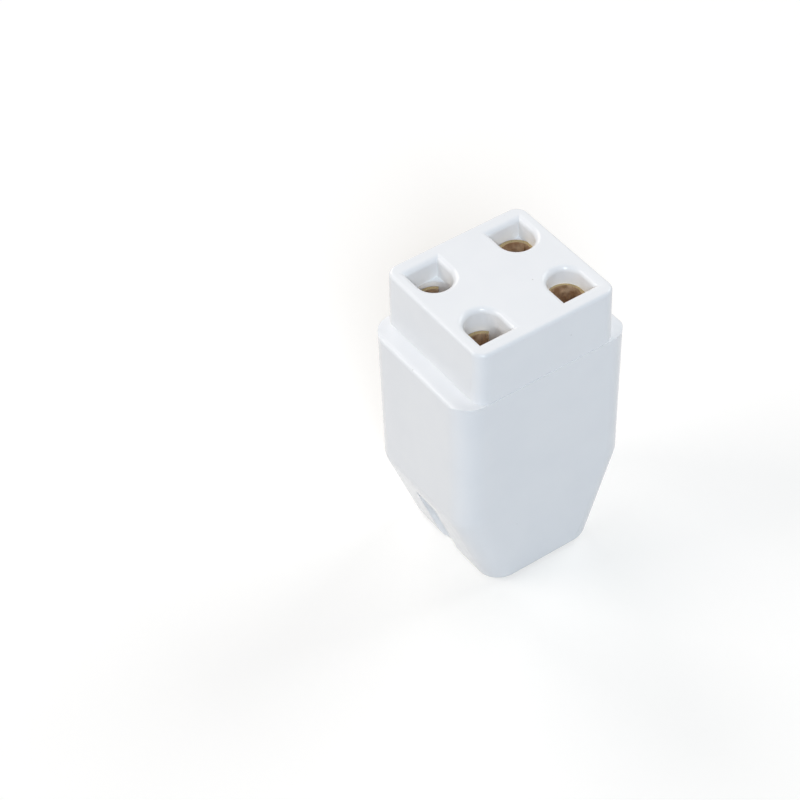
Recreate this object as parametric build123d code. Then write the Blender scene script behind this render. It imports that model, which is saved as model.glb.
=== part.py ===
from build123d import *
import math
import os

# Four-pin lamp socket, standing on its wire end with the pin face up.
# Origin: centre of the wire end. X runs across the two sloped sides, Y across the plain sides.
# Millimetres throughout.

# Lamp pins
PIN_SPACING_X = 7.92
PIN_SPACING_Y = 6.35
PIN_DIAMETER = 2.55
PIN_PLAY = 0.025

# Housing
HOUSING_HEIGHT = 21.85
RIM_X = 16.5
RIM_Y = 12.8
SHOULDER_X = 16.35
SHOULDER_HEIGHT = 8.35
SHOULDER_ROUND = 3.0
END_X = 10.3
END_Y = 12.4
HOUSING_CORNER = 2.05
RIM_ROUND = 0.4
END_ROUND = 0.65
SIDE_WALL = 0.95
SOCKET_CORNER = 0.7

# Grooves in the two slopes
GROOVE_WIDTH = 2.6
GROOVE_HEIGHT = 6.7
GROOVE_BACK_X = 4.8

# Wire end
WIRE_SPACING_X = 5.2
WIRE_SPACING_Y = 6.5
WIRE_HOLE_DIAMETER = 3.3
WIRE_MOUTH_BEVEL = 0.2
SQUARE_HOLE = 1.8

# Pin block
HEAD_X = 13.25
HEAD_Y = 12.65
HEAD_HEIGHT = 5.15
HEAD_DRAFT = 0.5
HEAD_CORNER = 1.1
FACE_ROUND = 0.3
HEAD_OVERHANG_X = 0.3
PLUG_CLEARANCE = 0.075
PLUG_END_GAP = 0.1
PIN_HOLE_WIDTH = 3.0
PIN_HOLE_FLAT = 1.7
PIN_HOLE_DEPTH = 1.9
PIN_HOLE_ROUND = 0.45
FACE_WEB = 1.65

# Contacts, each stamped and rolled from one strip
STRIP = 0.3
SLEEVE_LENGTH = 7.0
SLEEVE_OPENING = 80
NECK_LENGTH = 4.2
NECK_LEAD = 1.2
NECK_BEND_SHARE = 0.9
NECK_ARC = 40
CRIMP_LENGTH = 2.8
CRIMP_ARC = 210
FLARE_LENGTH = 0.8
FLARE_ARC = 70
GRIP_LENGTH = 2.4
GRIP_ARC = 230
GRIP_SEAT = 0.47
CONTACT_CLEARANCE = 0.08
CONTACT_FLOAT = 0.7

# Two places or radii closer than this are taken as the same one
SAME = 0.01

# Radii and widths that follow from the sizes above
BORE_RADIUS = PIN_DIAMETER / 2 + PIN_PLAY
POCKET_RADIUS = BORE_RADIUS + STRIP + CONTACT_CLEARANCE
WIRE_RADIUS = WIRE_HOLE_DIAMETER / 2
GRIP_RADIUS = WIRE_RADIUS + GRIP_SEAT
CHAMBER_RADIUS = GRIP_RADIUS + CONTACT_CLEARANCE
SOCKET_Y = RIM_Y - 2 * SIDE_WALL
PLUG_X = HEAD_X - 2 * HEAD_OVERHANG_X
PLUG_Y = SOCKET_Y - 2 * PLUG_CLEARANCE
SOCKET_X = PLUG_X + 2 * PLUG_CLEARANCE

# Levels, from the pin face down to the top of the wire holes
FACE_Z = HOUSING_HEIGHT + HEAD_HEIGHT
SLEEVE_TOP = FACE_Z - FACE_WEB
NECK_TOP = SLEEVE_TOP - SLEEVE_LENGTH
SOCKET_FLOOR = NECK_TOP - NECK_LENGTH
PLUG_END = SOCKET_FLOOR + PLUG_END_GAP
CHAMBER_FLOOR = SOCKET_FLOOR - CRIMP_LENGTH - FLARE_LENGTH - GRIP_LENGTH - CONTACT_FLOAT

CORNERS = {
    "front_left": (-1, -1),
    "front_right": (1, -1),
    "back_left": (-1, 1),
    "back_right": (1, 1),
}


def pin_axis(side_x, side_y):
    """Where a lamp pin's axis crosses the base plane."""
    return Vector(side_x * PIN_SPACING_X / 2, side_y * PIN_SPACING_Y / 2)


def wire_axis(side_x, side_y):
    """Where a wire hole's axis crosses the base plane."""
    return Vector(side_x * WIRE_SPACING_X / 2, side_y * WIRE_SPACING_Y / 2)


def upright(sketch, low, high):
    """A flat outline raised into a prism between two levels."""
    return extrude(Pos(0, 0, low) * sketch, high - low)


def disc(centre, radius):
    """A round outline on a given axis."""
    return Pos(centre.X, centre.Y) * Circle(radius)


def housing_outside():
    """Side profile with the two slopes crossed with the drafted front profile, its corners rounded.

    The rim is rounded only along the sloped sides, so that the plain sides run flush into the pin block.
    """
    side = make_face(Polyline(
        (END_X / 2, 0),
        (SHOULDER_X / 2, SHOULDER_HEIGHT),
        (RIM_X / 2, HOUSING_HEIGHT),
        (-RIM_X / 2, HOUSING_HEIGHT),
        (-SHOULDER_X / 2, SHOULDER_HEIGHT),
        (-END_X / 2, 0),
        close=True,
    ))
    shoulders = [v for v in side.vertices() if abs(v.Y - SHOULDER_HEIGHT) < SAME]
    side = fillet(shoulders, SHOULDER_ROUND)
    front = make_face(Polyline(
        (END_Y / 2, 0),
        (RIM_Y / 2, HOUSING_HEIGHT),
        (-RIM_Y / 2, HOUSING_HEIGHT),
        (-END_Y / 2, 0),
        close=True,
    ))
    body = extrude(Plane.XZ * side, RIM_Y, both=True) & extrude(Plane.YZ * front, RIM_X, both=True)
    body = fillet([e for e in body.edges() if e.bounding_box().size.Z > SAME], HOUSING_CORNER)
    body = fillet(body.edges().group_by(Axis.Z)[0], END_ROUND)
    rims = [v for v in side.vertices() if abs(v.Y - HOUSING_HEIGHT) < SAME]
    return body & extrude(Plane.XZ * fillet(rims, RIM_ROUND), RIM_Y, both=True)


def groove(side_x):
    """Upright slot with a round back, open at the wire end and closed by a flat shelf."""
    half = GROOVE_WIDTH / 2
    back = Pos(side_x * (GROOVE_BACK_X + half), 0) * Circle(half)
    reach = RIM_X - GROOVE_BACK_X - half
    mouth = Pos(side_x * (GROOVE_BACK_X + half + reach / 2), 0) * Rectangle(reach, GROOVE_WIDTH)
    return upright(back + mouth, 0, GROOVE_HEIGHT)


def make_housing():
    """Moulded sleeve: socket for the pin block, contact chambers, wire holes and slope grooves."""
    body = housing_outside()
    body -= upright(RectangleRounded(SOCKET_X, SOCKET_Y, SOCKET_CORNER), SOCKET_FLOOR, HOUSING_HEIGHT)
    body -= upright(Rectangle(SQUARE_HOLE, SQUARE_HOLE), 0, SOCKET_FLOOR)
    for corner in CORNERS.values():
        axis = wire_axis(*corner)
        body -= upright(disc(axis, CHAMBER_RADIUS), CHAMBER_FLOOR, SOCKET_FLOOR)
        body -= upright(disc(axis, WIRE_RADIUS), 0, CHAMBER_FLOOR)
    mouths = body.edges().filter_by(GeomType.CIRCLE).group_by(Axis.Z)[0]
    body = chamfer([e for e in mouths if abs(e.radius - WIRE_RADIUS) < SAME], WIRE_MOUTH_BEVEL)
    for side_x in (-1, 1):
        body -= groove(side_x)
    return body


def pin_hole(side_x, side_y):
    """D-shaped outline round a pin's axis, with its flat towards the outside of the block."""
    half = PIN_HOLE_WIDTH / 2
    square = Pos(0, side_y * PIN_HOLE_FLAT / 2) * Rectangle(PIN_HOLE_WIDTH, PIN_HOLE_FLAT)
    centre = pin_axis(side_x, side_y)
    return Pos(centre.X, centre.Y) * (Circle(half) + square)


def make_pin_block():
    """Moulded block: drafted head on the housing's rim, plug below it, and a passage for each contact."""
    head = extrude(
        Pos(0, 0, HOUSING_HEIGHT) * RectangleRounded(HEAD_X, HEAD_Y, HEAD_CORNER),
        HEAD_HEIGHT,
        taper=HEAD_DRAFT,
    )
    head = fillet(head.edges().group_by(Axis.Z)[-1], FACE_ROUND)
    plug_corner = SOCKET_CORNER - PLUG_CLEARANCE
    block = head + upright(RectangleRounded(PLUG_X, PLUG_Y, plug_corner), PLUG_END, HOUSING_HEIGHT)
    for corner in CORNERS.values():
        pin = pin_axis(*corner)
        wire = wire_axis(*corner)
        block -= upright(pin_hole(*corner), FACE_Z - PIN_HOLE_DEPTH, FACE_Z)
        block -= upright(disc(pin, POCKET_RADIUS), PLUG_END, SLEEVE_TOP)
        slot = make_hull((disc(pin, POCKET_RADIUS) + disc(wire, POCKET_RADIUS)).edges())
        block -= upright(slot, PLUG_END, NECK_TOP)
    face = block.faces().sort_by(Axis.Z)[-1]
    return fillet(face.inner_wires().edges(), PIN_HOLE_ROUND)


def strip_arc(inner, angle):
    """Section of the rolled strip: a ring sector whose middle, the contact's back, lies at +X."""
    back = CenterArc((0, 0), inner + STRIP, -angle / 2, angle)
    front = CenterArc((0, 0), inner, -angle / 2, angle)
    ends = [Line(back @ t, front @ t) for t in (0, 1)]
    return make_face([back, front, *ends])


def neck_path(jog):
    """S-shaped line from the sleeve's lower end down to the crimp, one jog further along -X."""
    slant = math.hypot(jog, NECK_LENGTH - 2 * NECK_LEAD)
    tilt = math.atan2(jog, NECK_LENGTH - 2 * NECK_LEAD)
    bend = NECK_BEND_SHARE * min(NECK_LEAD, slant / 2) / math.tan(tilt / 2)
    return FilletPolyline(
        (0, 0, 0),
        (0, 0, -NECK_LEAD),
        (-jog, 0, NECK_LEAD - NECK_LENGTH),
        (-jog, 0, -NECK_LENGTH),
        radius=bend,
    )


def flare():
    """Cone sector that widens the strip from the crimp's radius, at level zero, to the grip's."""
    grip_inner = GRIP_RADIUS - STRIP
    profile = make_face(Polyline(
        (BORE_RADIUS, 0),
        (BORE_RADIUS + STRIP, 0),
        (GRIP_RADIUS, -FLARE_LENGTH),
        (grip_inner, -FLARE_LENGTH),
        close=True,
    ))
    return Rot(0, 0, -FLARE_ARC / 2) * revolve(Plane.XZ * profile, Axis.Z, FLARE_ARC)


def make_contact(jog):
    """One contact, sleeve axis on Z with its mouth at level zero, sleeve open towards -X."""
    crimp_top = -SLEEVE_LENGTH - NECK_LENGTH
    flare_top = crimp_top - CRIMP_LENGTH
    grip_top = flare_top - FLARE_LENGTH
    sleeve = upright(strip_arc(BORE_RADIUS, 360 - SLEEVE_OPENING), -SLEEVE_LENGTH, 0)
    neck = Pos(0, 0, -SLEEVE_LENGTH) * sweep(strip_arc(BORE_RADIUS, NECK_ARC), neck_path(jog))
    crimp = upright(strip_arc(BORE_RADIUS, CRIMP_ARC), flare_top, crimp_top)
    grip = upright(strip_arc(GRIP_RADIUS - STRIP, GRIP_ARC), grip_top - GRIP_LENGTH, grip_top)
    tail = crimp + Pos(0, 0, flare_top) * flare() + grip
    return sleeve + neck + Pos(-jog, 0, 0) * tail


def place_contact(side_x, side_y):
    """A contact on its pin's axis, its tail over the wire hole: left pair down, right pair up in its play."""
    pin = pin_axis(side_x, side_y)
    step = wire_axis(side_x, side_y) - pin
    heading = math.degrees(math.atan2(-step.Y, -step.X))
    top = SLEEVE_TOP if side_x > 0 else SLEEVE_TOP - CONTACT_FLOAT
    return Pos(pin.X, pin.Y, top) * Rot(0, 0, heading) * make_contact(step.length)


os.makedirs("parts", exist_ok=True)
export_step(make_housing(), "parts/housing.step")
export_step(make_pin_block(), "parts/pin_block.step")
for name, corner in CORNERS.items():
    export_step(place_contact(*corner), f"parts/contact_{name}.step")
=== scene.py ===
import math

import bpy
from bpy.props import FloatProperty, FloatVectorProperty, PointerProperty
from bpy.types import Operator, Panel, PropertyGroup
from mathutils import Matrix, Vector


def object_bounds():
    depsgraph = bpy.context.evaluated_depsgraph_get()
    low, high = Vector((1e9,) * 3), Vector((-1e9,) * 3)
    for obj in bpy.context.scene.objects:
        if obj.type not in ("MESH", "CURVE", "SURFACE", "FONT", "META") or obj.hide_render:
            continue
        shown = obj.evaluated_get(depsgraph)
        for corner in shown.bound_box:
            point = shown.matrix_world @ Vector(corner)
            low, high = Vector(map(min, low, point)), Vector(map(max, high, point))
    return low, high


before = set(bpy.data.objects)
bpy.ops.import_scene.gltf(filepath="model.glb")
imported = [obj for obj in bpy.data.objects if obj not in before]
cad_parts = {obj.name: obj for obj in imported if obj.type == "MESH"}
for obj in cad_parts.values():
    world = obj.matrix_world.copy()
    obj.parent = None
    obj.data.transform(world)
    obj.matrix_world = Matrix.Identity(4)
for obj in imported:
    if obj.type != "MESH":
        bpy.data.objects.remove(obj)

bl_info = {
    "name": "Four-pin lamp socket",
    "version": (1, 0, 0),
    "blender": (4, 5, 0),
    "location": "View3D > Sidebar > Lamp socket",
    "description": "Finishes the plastic and brass of a four-pin lamp socket and sets its stage",
    "category": "Object",
}

CAD_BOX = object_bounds()
CONTACTS = sorted(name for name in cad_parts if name.startswith("contact_"))
WHITE = (1.0, 1.0, 1.0, 1.0)

# Scales of the patterns in the plastic, per metre
CLOUD_SCALE = 220.0
SHEEN_SCALE = 900.0
GRAIN_SCALE = 7000.0
SPECK_SCALE = 300.0

# Clouds fade from the flow colour to the plastic's own between these noise values
CLOUD_LOW = 0.35
CLOUD_HIGH = 0.6

# A speck is full up to the first distance from its middle and gone at the second, in pattern cells
SPECK_CORE = 0.012
SPECK_RIM = 0.022

# The plastic's gloss, its unevenness and its fine grain, the grain's height in metres
PLASTIC_IOR = 1.49
SHEEN_SPREAD = 0.025
GRAIN_STRENGTH = 0.03
GRAIN_HEIGHT = 0.00002
EDGE_SAMPLES = 8

# Scales of the patterns on the brass, per metre, and the stretch of its drawing lines along the strip
TARNISH_SCALE = 1500.0
LINE_SCALE = 9000.0
LINE_STRETCH = (1.0, 1.0, 0.04)

# Tarnish turns to clean brass between these noise values
TARNISH_LOW = 0.38
TARNISH_HIGH = 0.62

# The dulled strip is part metal, with lines that are a little smoother or rougher than its mean
BRASS_METALLIC = 0.62
LINE_SMOOTHER = 0.08
LINE_ROUGHER = 0.1
LINE_STRENGTH = 0.15
LINE_HEIGHT = 0.00002

# Painted shade: faces that look up, mostly the strip's cut edges, darken to the shade colour as their
# normal turns upwards between these heights, dimming their reflection of the sky
UP_SHADE_START = 0.6
UP_SHADE_FULL = 0.9

# Most values of a noise texture lie between these
NOISE_LOW = 0.3
NOISE_HIGH = 0.7

# The floor lies a hair under the wire end, so that no two faces share a plane
FLOOR_Z = CAD_BOX[0].z - 0.00001
FLOOR_RADIUS = 2.0
FLOOR_SIDES = 96
FLOOR_ROUGHNESS = 0.9

# Where each lamp hangs and how wide it is, in metres
LAMPS = {
    "near": ((-0.42, -0.71, 0.65), 0.3),
    "left": ((-0.72, 0.45, 0.6), 0.5),
    "right": ((0.85, 0.05, 0.6), 0.6),
    "back": ((0.05, 0.85, 0.6), 0.6),
}

# The camera's sensor, in millimetres, and the range it sees, in metres
SENSOR_WIDTH = 36.0
CLIP_START = 0.005
CLIP_END = 10.0


class PlasticSettings(PropertyGroup):
    """Finish of the white moulded pieces."""

    colour: FloatVectorProperty(
        name="Colour", description="Colour of the moulded plastic", subtype="COLOR",
        size=4, min=0.0, max=1.0, default=(0.88, 0.882, 0.88, 1.0))
    flow_colour: FloatVectorProperty(
        name="Flow colour", description="Tone of the faint clouds that the melt leaves", subtype="COLOR",
        size=4, min=0.0, max=1.0, default=(0.862, 0.866, 0.868, 1.0))
    speck_colour: FloatVectorProperty(
        name="Speck colour", description="Colour of the stray dark specks in the plastic", subtype="COLOR",
        size=4, min=0.0, max=1.0, default=(0.68, 0.67, 0.65, 1.0))
    roughness: FloatProperty(
        name="Roughness", description="Mean roughness of the moulded skin", subtype="FACTOR",
        min=0.0, max=1.0, default=0.22)
    edge: FloatProperty(
        name="Edge", description="Width of the softening on the housing's edges",
        subtype="DISTANCE", unit="LENGTH", min=0.0, default=0.00006)


class BrassSettings(PropertyGroup):
    """Finish of the rolled brass strip."""

    colour: FloatVectorProperty(
        name="Colour", description="Colour of clean brass strip", subtype="COLOR",
        size=4, min=0.0, max=1.0, default=(1.0, 0.77, 0.53, 1.0))
    dull_colour: FloatVectorProperty(
        name="Dull colour", description="Colour of the tarnished patches", subtype="COLOR",
        size=4, min=0.0, max=1.0, default=(0.6, 0.38, 0.22, 1.0))
    # Painted shade colour for the faces that look up, mostly the strip's cut edges, dimming their
    # reflection of the sky
    up_shade_colour: FloatVectorProperty(
        name="Edge colour", description="Colour of the strip's cut edges", subtype="COLOR",
        size=4, min=0.0, max=1.0, default=(0.5, 0.38, 0.2, 1.0))
    roughness: FloatProperty(
        name="Roughness", description="Mean roughness of the strip", subtype="FACTOR",
        min=0.0, max=1.0, default=0.34)


class StageSettings(PropertyGroup):
    """Floor, lamps and camera."""

    floor_colour: FloatVectorProperty(
        name="Floor colour", description="Colour of the pale floor", subtype="COLOR",
        size=4, min=0.0, max=1.0, default=(0.65, 0.65, 0.65, 1.0))
    floor_lift: FloatVectorProperty(
        name="Floor lift", description="Glow that brings the floor to white for the eye", subtype="COLOR",
        size=4, min=0.0, max=1.0, default=(0.4, 0.385, 0.355, 1.0))
    ambient_colour: FloatVectorProperty(
        name="Ambient colour", description="Colour of the light from all round", subtype="COLOR",
        size=4, min=0.0, max=1.0, default=(0.15, 0.17, 0.2, 1.0))
    near_power: FloatProperty(
        name="Near power", description="Power of the main soft lamp, beside the camera", unit="POWER",
        min=0.0, default=5.77)
    near_colour: FloatVectorProperty(
        name="Near colour", description="Colour of the main soft lamp", subtype="COLOR",
        size=3, min=0.0, max=1.0, default=(0.816, 0.902, 1.0))
    left_power: FloatProperty(
        name="Left power", description="Power of the soft lamp on the left", unit="POWER",
        min=0.0, default=3.66)
    left_colour: FloatVectorProperty(
        name="Left colour", description="Colour of the soft lamp on the left", subtype="COLOR",
        size=3, min=0.0, max=1.0, default=(1.0, 0.925, 0.849))
    right_power: FloatProperty(
        name="Right power", description="Power of the soft lamp on the right", unit="POWER",
        min=0.0, default=3.75)
    right_colour: FloatVectorProperty(
        name="Right colour", description="Colour of the soft lamp on the right", subtype="COLOR",
        size=3, min=0.0, max=1.0, default=(1.0, 0.995, 0.975))
    back_power: FloatProperty(
        name="Back power", description="Power of the soft lamp behind the socket", unit="POWER",
        min=0.0, default=3.56)
    back_colour: FloatVectorProperty(
        name="Back colour", description="Colour of the soft lamp behind the socket", subtype="COLOR",
        size=3, min=0.0, max=1.0, default=(1.0, 0.939, 0.906))
    camera_place: FloatVectorProperty(
        name="Camera place", description="Where the camera stands", subtype="TRANSLATION", unit="LENGTH",
        default=(-0.079703, -0.107145, 0.146688))
    camera_aim: FloatVectorProperty(
        name="Camera aim", description="Point in the middle of the picture", subtype="TRANSLATION",
        unit="LENGTH", default=(0.001147, 0.016516, 0.0))
    camera_roll: FloatProperty(
        name="Camera roll", description="Turn of the camera about its own line of sight", subtype="ANGLE",
        default=math.radians(-2.421))
    lens: FloatProperty(
        name="Lens", description="Focal length on a 36 mm wide sensor, in millimetres",
        min=1.0, default=104.629)


class SocketSettings(PropertyGroup):
    """All settings of the lamp socket."""

    plastic: PointerProperty(
        type=PlasticSettings, name="Plastic", description="Finish of the moulded pieces")
    brass: PointerProperty(
        type=BrassSettings, name="Brass", description="Finish of the contacts")
    stage: PointerProperty(
        type=StageSettings, name="Stage", description="Floor, lamps and camera")


def fresh_material(name):
    """A new node material, its nodes and links, and its principled shader."""
    material = bpy.data.materials.new(name)
    material.use_nodes = True
    nodes = material.node_tree.nodes
    return material, nodes, material.node_tree.links, nodes["Principled BSDF"]


def noise(nodes, links, vector, scale, detail):
    """A noise texture on the given coordinates."""
    texture = nodes.new("ShaderNodeTexNoise")
    texture.inputs["Scale"].default_value = scale
    texture.inputs["Detail"].default_value = detail
    links.new(vector, texture.inputs["Vector"])
    return texture.outputs["Fac"]


def ramp(nodes, links, value, low, high):
    """A blend between two colours, each given as (position, colour)."""
    blend = nodes.new("ShaderNodeValToRGB")
    for stop, (position, colour) in zip(blend.color_ramp.elements, (low, high)):
        stop.position = position
        stop.color = colour
    links.new(value, blend.inputs["Fac"])
    return blend.outputs["Color"]


def spread(nodes, links, value, low, high):
    """A noise value spread between two limits."""
    remap = nodes.new("ShaderNodeMapRange")
    remap.inputs["From Min"].default_value = NOISE_LOW
    remap.inputs["From Max"].default_value = NOISE_HIGH
    remap.inputs["To Min"].default_value = low
    remap.inputs["To Max"].default_value = high
    links.new(value, remap.inputs["Value"])
    return remap.outputs["Result"]


def soft_edges(nodes, radius):
    """A normal that turns smoothly over the edges of a piece."""
    turn = nodes.new("ShaderNodeBevel")
    turn.samples = EDGE_SAMPLES
    turn.inputs["Radius"].default_value = radius
    return turn.outputs["Normal"]


def bump(nodes, links, height, strength, distance, shader):
    """Fine relief on a shader's normal, and the relief's node."""
    relief = nodes.new("ShaderNodeBump")
    relief.inputs["Strength"].default_value = strength
    relief.inputs["Distance"].default_value = distance
    links.new(height, relief.inputs["Height"])
    links.new(relief.outputs["Normal"], shader.inputs["Normal"])
    return relief


def specks(nodes, links, place, colour, speck_colour):
    """A colour with a few stray specks of a tenth of a millimetre in it."""
    cells = nodes.new("ShaderNodeTexVoronoi")
    cells.inputs["Scale"].default_value = SPECK_SCALE
    links.new(place, cells.inputs["Vector"])
    inside = nodes.new("ShaderNodeMapRange")
    inside.inputs["From Min"].default_value = SPECK_CORE
    inside.inputs["From Max"].default_value = SPECK_RIM
    inside.inputs["To Min"].default_value = 1.0
    inside.inputs["To Max"].default_value = 0.0
    links.new(cells.outputs["Distance"], inside.inputs["Value"])
    mix = nodes.new("ShaderNodeMix")
    mix.data_type = "RGBA"
    mix.inputs["B"].default_value = speck_colour
    links.new(inside.outputs["Result"], mix.inputs["Factor"])
    links.new(colour, mix.inputs["A"])
    return mix.outputs["Result"]


def white_plastic(name, settings, edge):
    """White moulded plastic: faint flow clouds, a fine grain, a few specks and, if asked, soft edges."""
    material, nodes, links, shader = fresh_material(name)
    place = nodes.new("ShaderNodeTexCoord").outputs["Object"]
    clouds = noise(nodes, links, place, CLOUD_SCALE, detail=3.0)
    flow, plain = (CLOUD_LOW, settings.flow_colour), (CLOUD_HIGH, settings.colour)
    body = ramp(nodes, links, clouds, flow, plain)
    links.new(specks(nodes, links, place, body, settings.speck_colour), shader.inputs["Base Color"])
    sheen = noise(nodes, links, place, SHEEN_SCALE, detail=2.0)
    smooth, rough = settings.roughness - SHEEN_SPREAD, settings.roughness + SHEEN_SPREAD
    links.new(spread(nodes, links, sheen, smooth, rough), shader.inputs["Roughness"])
    shader.inputs["IOR"].default_value = PLASTIC_IOR
    grain = noise(nodes, links, place, GRAIN_SCALE, detail=2.0)
    relief = bump(nodes, links, grain, GRAIN_STRENGTH, GRAIN_HEIGHT, shader)
    if edge > 0.0:
        links.new(soft_edges(nodes, edge), relief.inputs["Normal"])
    return material


def paint_up_shade(nodes, links, colour, up_shade_colour):
    """A colour darkened with painted shade on faces that look up, mostly the strip's cut edges."""
    facing = nodes.new("ShaderNodeSeparateXYZ")
    links.new(nodes.new("ShaderNodeNewGeometry").outputs["True Normal"], facing.inputs["Vector"])
    up_shade_mask = nodes.new("ShaderNodeMapRange")
    up_shade_mask.inputs["From Min"].default_value = UP_SHADE_START
    up_shade_mask.inputs["From Max"].default_value = UP_SHADE_FULL
    links.new(facing.outputs["Z"], up_shade_mask.inputs["Value"])
    mix = nodes.new("ShaderNodeMix")
    mix.data_type = "RGBA"
    mix.inputs["B"].default_value = up_shade_colour
    links.new(up_shade_mask.outputs["Result"], mix.inputs["Factor"])
    links.new(colour, mix.inputs["A"])
    return mix.outputs["Result"]


def brass_strip(settings):
    """Stamped brass: drawing lines along the strip and dull patches of tarnish."""
    material, nodes, links, shader = fresh_material("rolled_brass_strip")
    place = nodes.new("ShaderNodeTexCoord").outputs["Object"]
    tarnish = noise(nodes, links, place, TARNISH_SCALE, detail=5.0)
    dull, clean = (TARNISH_LOW, settings.dull_colour), (TARNISH_HIGH, settings.colour)
    metal = ramp(nodes, links, tarnish, dull, clean)
    # Painted shade darkens the faces that look up, mostly the strip's cut edges
    links.new(paint_up_shade(nodes, links, metal, settings.up_shade_colour), shader.inputs["Base Color"])
    shader.inputs["Metallic"].default_value = BRASS_METALLIC
    along = nodes.new("ShaderNodeMapping")
    along.inputs["Scale"].default_value = LINE_STRETCH
    links.new(place, along.inputs["Vector"])
    lines = noise(nodes, links, along.outputs["Vector"], LINE_SCALE, detail=2.0)
    smooth, rough = settings.roughness - LINE_SMOOTHER, settings.roughness + LINE_ROUGHER
    links.new(spread(nodes, links, lines, smooth, rough), shader.inputs["Roughness"])
    bump(nodes, links, lines, LINE_STRENGTH, LINE_HEIGHT, shader)
    return material


def dress(name, material):
    """Gives a CAD node its finish."""
    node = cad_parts[name]
    node.data.materials.clear()
    node.data.materials.append(material)


class SOCKET_OT_housing(Operator):
    """Finish the moulded housing"""

    bl_idname = "socket.housing"
    bl_label = "Housing"

    def execute(self, context):
        plastic = context.scene.socket.plastic
        dress("housing", white_plastic("housing_plastic", plastic, plastic.edge))
        return {"FINISHED"}


class SOCKET_OT_pin_block(Operator):
    """Finish the moulded pin block"""

    bl_idname = "socket.pin_block"
    bl_label = "Pin block"

    def execute(self, context):
        dress("pin_block", white_plastic("pin_block_plastic", context.scene.socket.plastic, 0.0))
        return {"FINISHED"}


class SOCKET_OT_contacts(Operator):
    """Finish the four brass contacts"""

    bl_idname = "socket.contacts"
    bl_label = "Contacts"

    def execute(self, context):
        brass = brass_strip(context.scene.socket.brass)
        for name in CONTACTS:
            dress(name, brass)
        return {"FINISHED"}


def seen_directly(nodes, links):
    """One for rays from the camera, and for mirror or glass rays, and zero for the rest."""
    path = nodes.new("ShaderNodeLightPath")
    total = path.outputs["Is Camera Ray"]
    for ray in ("Is Glossy Ray", "Is Transmission Ray"):
        either = nodes.new("ShaderNodeMath")
        either.operation = "MAXIMUM"
        links.new(total, either.inputs[0])
        links.new(path.outputs[ray], either.inputs[1])
        total = either.outputs[0]
    return total


def light_world(settings):
    """A white backdrop to the eye, and soft light from all round."""
    world = bpy.data.worlds.new("studio")
    world.use_nodes = True
    nodes = world.node_tree.nodes
    links = world.node_tree.links
    ambient = nodes["Background"]
    ambient.inputs["Color"].default_value = settings.ambient_colour
    ambient.inputs["Strength"].default_value = 1.0
    backdrop = nodes.new("ShaderNodeBackground")
    backdrop.inputs["Color"].default_value = WHITE
    backdrop.inputs["Strength"].default_value = 1.0
    choice = nodes.new("ShaderNodeMixShader")
    links.new(seen_directly(nodes, links), choice.inputs["Fac"])
    links.new(ambient.outputs["Background"], choice.inputs[1])
    links.new(backdrop.outputs["Background"], choice.inputs[2])
    links.new(choice.outputs["Shader"], nodes["World Output"].inputs["Surface"])
    bpy.context.scene.world = world


def lay_floor(settings):
    """A pale floor under the wire end."""
    bpy.ops.object.select_all(action="DESELECT")
    bpy.ops.mesh.primitive_circle_add(
        vertices=FLOOR_SIDES, radius=FLOOR_RADIUS, fill_type="NGON", location=(0, 0, FLOOR_Z))
    floor = bpy.context.object
    floor.name = "floor"
    bpy.ops.object.transform_apply(location=True)
    material, nodes, links, shader = fresh_material("pale_floor")
    shader.inputs["Base Color"].default_value = settings.floor_colour
    shader.inputs["Roughness"].default_value = FLOOR_ROUGHNESS
    shader.inputs["Specular IOR Level"].default_value = 0.0
    shader.inputs["Emission Color"].default_value = settings.floor_lift
    links.new(seen_directly(nodes, links), shader.inputs["Emission Strength"])
    floor.data.materials.append(material)


def hang_lamp(name, place, aim, size, power, colour):
    """A square soft lamp that points at a spot."""
    data = bpy.data.lights.new(name, "AREA")
    data.shape = "SQUARE"
    data.size = size
    data.energy = power
    data.color = colour
    lamp = bpy.data.objects.new(name, data)
    lamp.location = place
    lamp.rotation_euler = (aim - place).to_track_quat("-Z", "Y").to_euler()
    bpy.context.scene.collection.objects.link(lamp)


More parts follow.
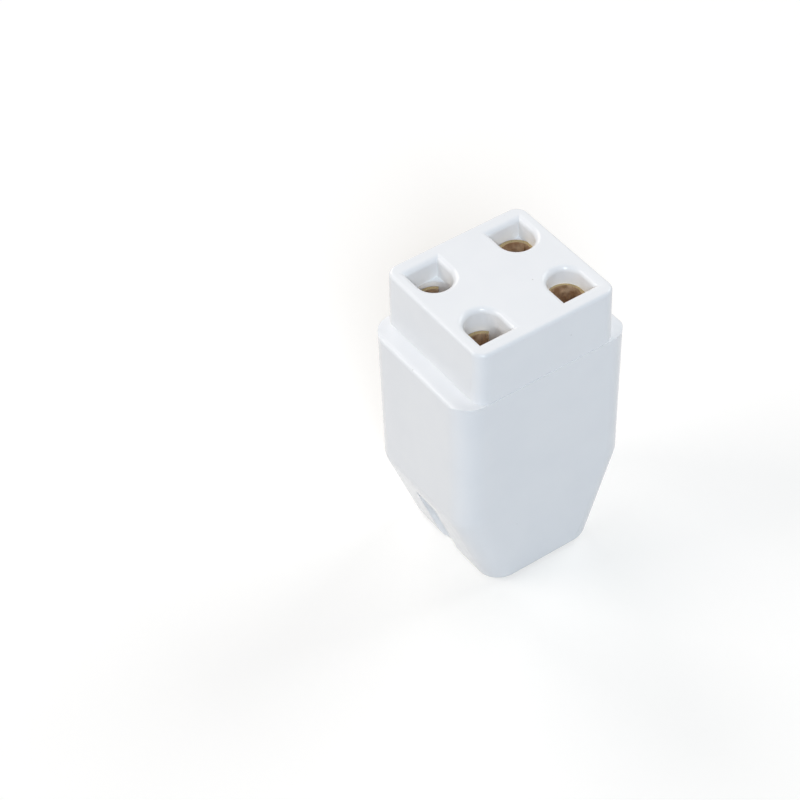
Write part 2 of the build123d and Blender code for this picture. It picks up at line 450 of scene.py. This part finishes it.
def set_camera(settings):
    """The camera at the angle from which the socket is shown."""
    place = Vector(settings.camera_place)
    data = bpy.data.cameras.new("camera")
    data.sensor_width = SENSOR_WIDTH
    data.lens = settings.lens
    data.clip_start = CLIP_START
    data.clip_end = CLIP_END
    camera = bpy.data.objects.new("camera", data)
    sight = (Vector(settings.camera_aim) - place).to_track_quat("-Z", "Y").to_matrix()
    turn = Matrix.Rotation(settings.camera_roll, 3, "Z")
    camera.rotation_euler = (sight @ turn).to_euler()
    camera.location = place
    bpy.context.scene.collection.objects.link(camera)
    bpy.context.scene.camera = camera


class SOCKET_OT_stage(Operator):
    """Lay the floor, hang the lamps and set the camera"""

    bl_idname = "socket.stage"
    bl_label = "Stage"

    def execute(self, context):
        settings = context.scene.socket.stage
        middle = (CAD_BOX[0] + CAD_BOX[1]) / 2
        context.scene.view_settings.view_transform = "Standard"
        light_world(settings)
        lay_floor(settings)
        for name, (place, size) in LAMPS.items():
            power = getattr(settings, f"{name}_power")
            colour = getattr(settings, f"{name}_colour")
            hang_lamp(name, Vector(place), middle, size, power, colour)
        set_camera(settings)
        return {"FINISHED"}


STEPS = (SOCKET_OT_housing, SOCKET_OT_pin_block, SOCKET_OT_contacts, SOCKET_OT_stage)


class SOCKET_PT_panel(Panel):
    """The socket's settings and steps, in the sidebar"""

    bl_label = "Lamp socket"
    bl_space_type = "VIEW_3D"
    bl_region_type = "UI"
    bl_category = "Lamp socket"

    def draw(self, context):
        settings = context.scene.socket
        for group in (settings.plastic, settings.brass, settings.stage):
            box = self.layout.box()
            for name in group.bl_rna.properties.keys():
                if name not in ("rna_type", "name"):
                    box.prop(group, name)
        for step in STEPS:
            self.layout.operator(step.bl_idname)


CLASSES = (PlasticSettings, BrassSettings, StageSettings, SocketSettings, *STEPS, SOCKET_PT_panel)


def register():
    """Adds the classes and the scene's settings."""
    for cls in CLASSES:
        bpy.utils.register_class(cls)
    bpy.types.Scene.socket = PointerProperty(type=SocketSettings)


def unregister():
    """Takes the settings and the classes away again."""
    del bpy.types.Scene.socket
    for cls in reversed(CLASSES):
        bpy.utils.unregister_class(cls)


def main():
    """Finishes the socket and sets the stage."""
    register()
    bpy.ops.socket.housing()
    bpy.ops.socket.pin_block()
    bpy.ops.socket.contacts()
    bpy.ops.socket.stage()


if __name__ == "__main__":
    main()
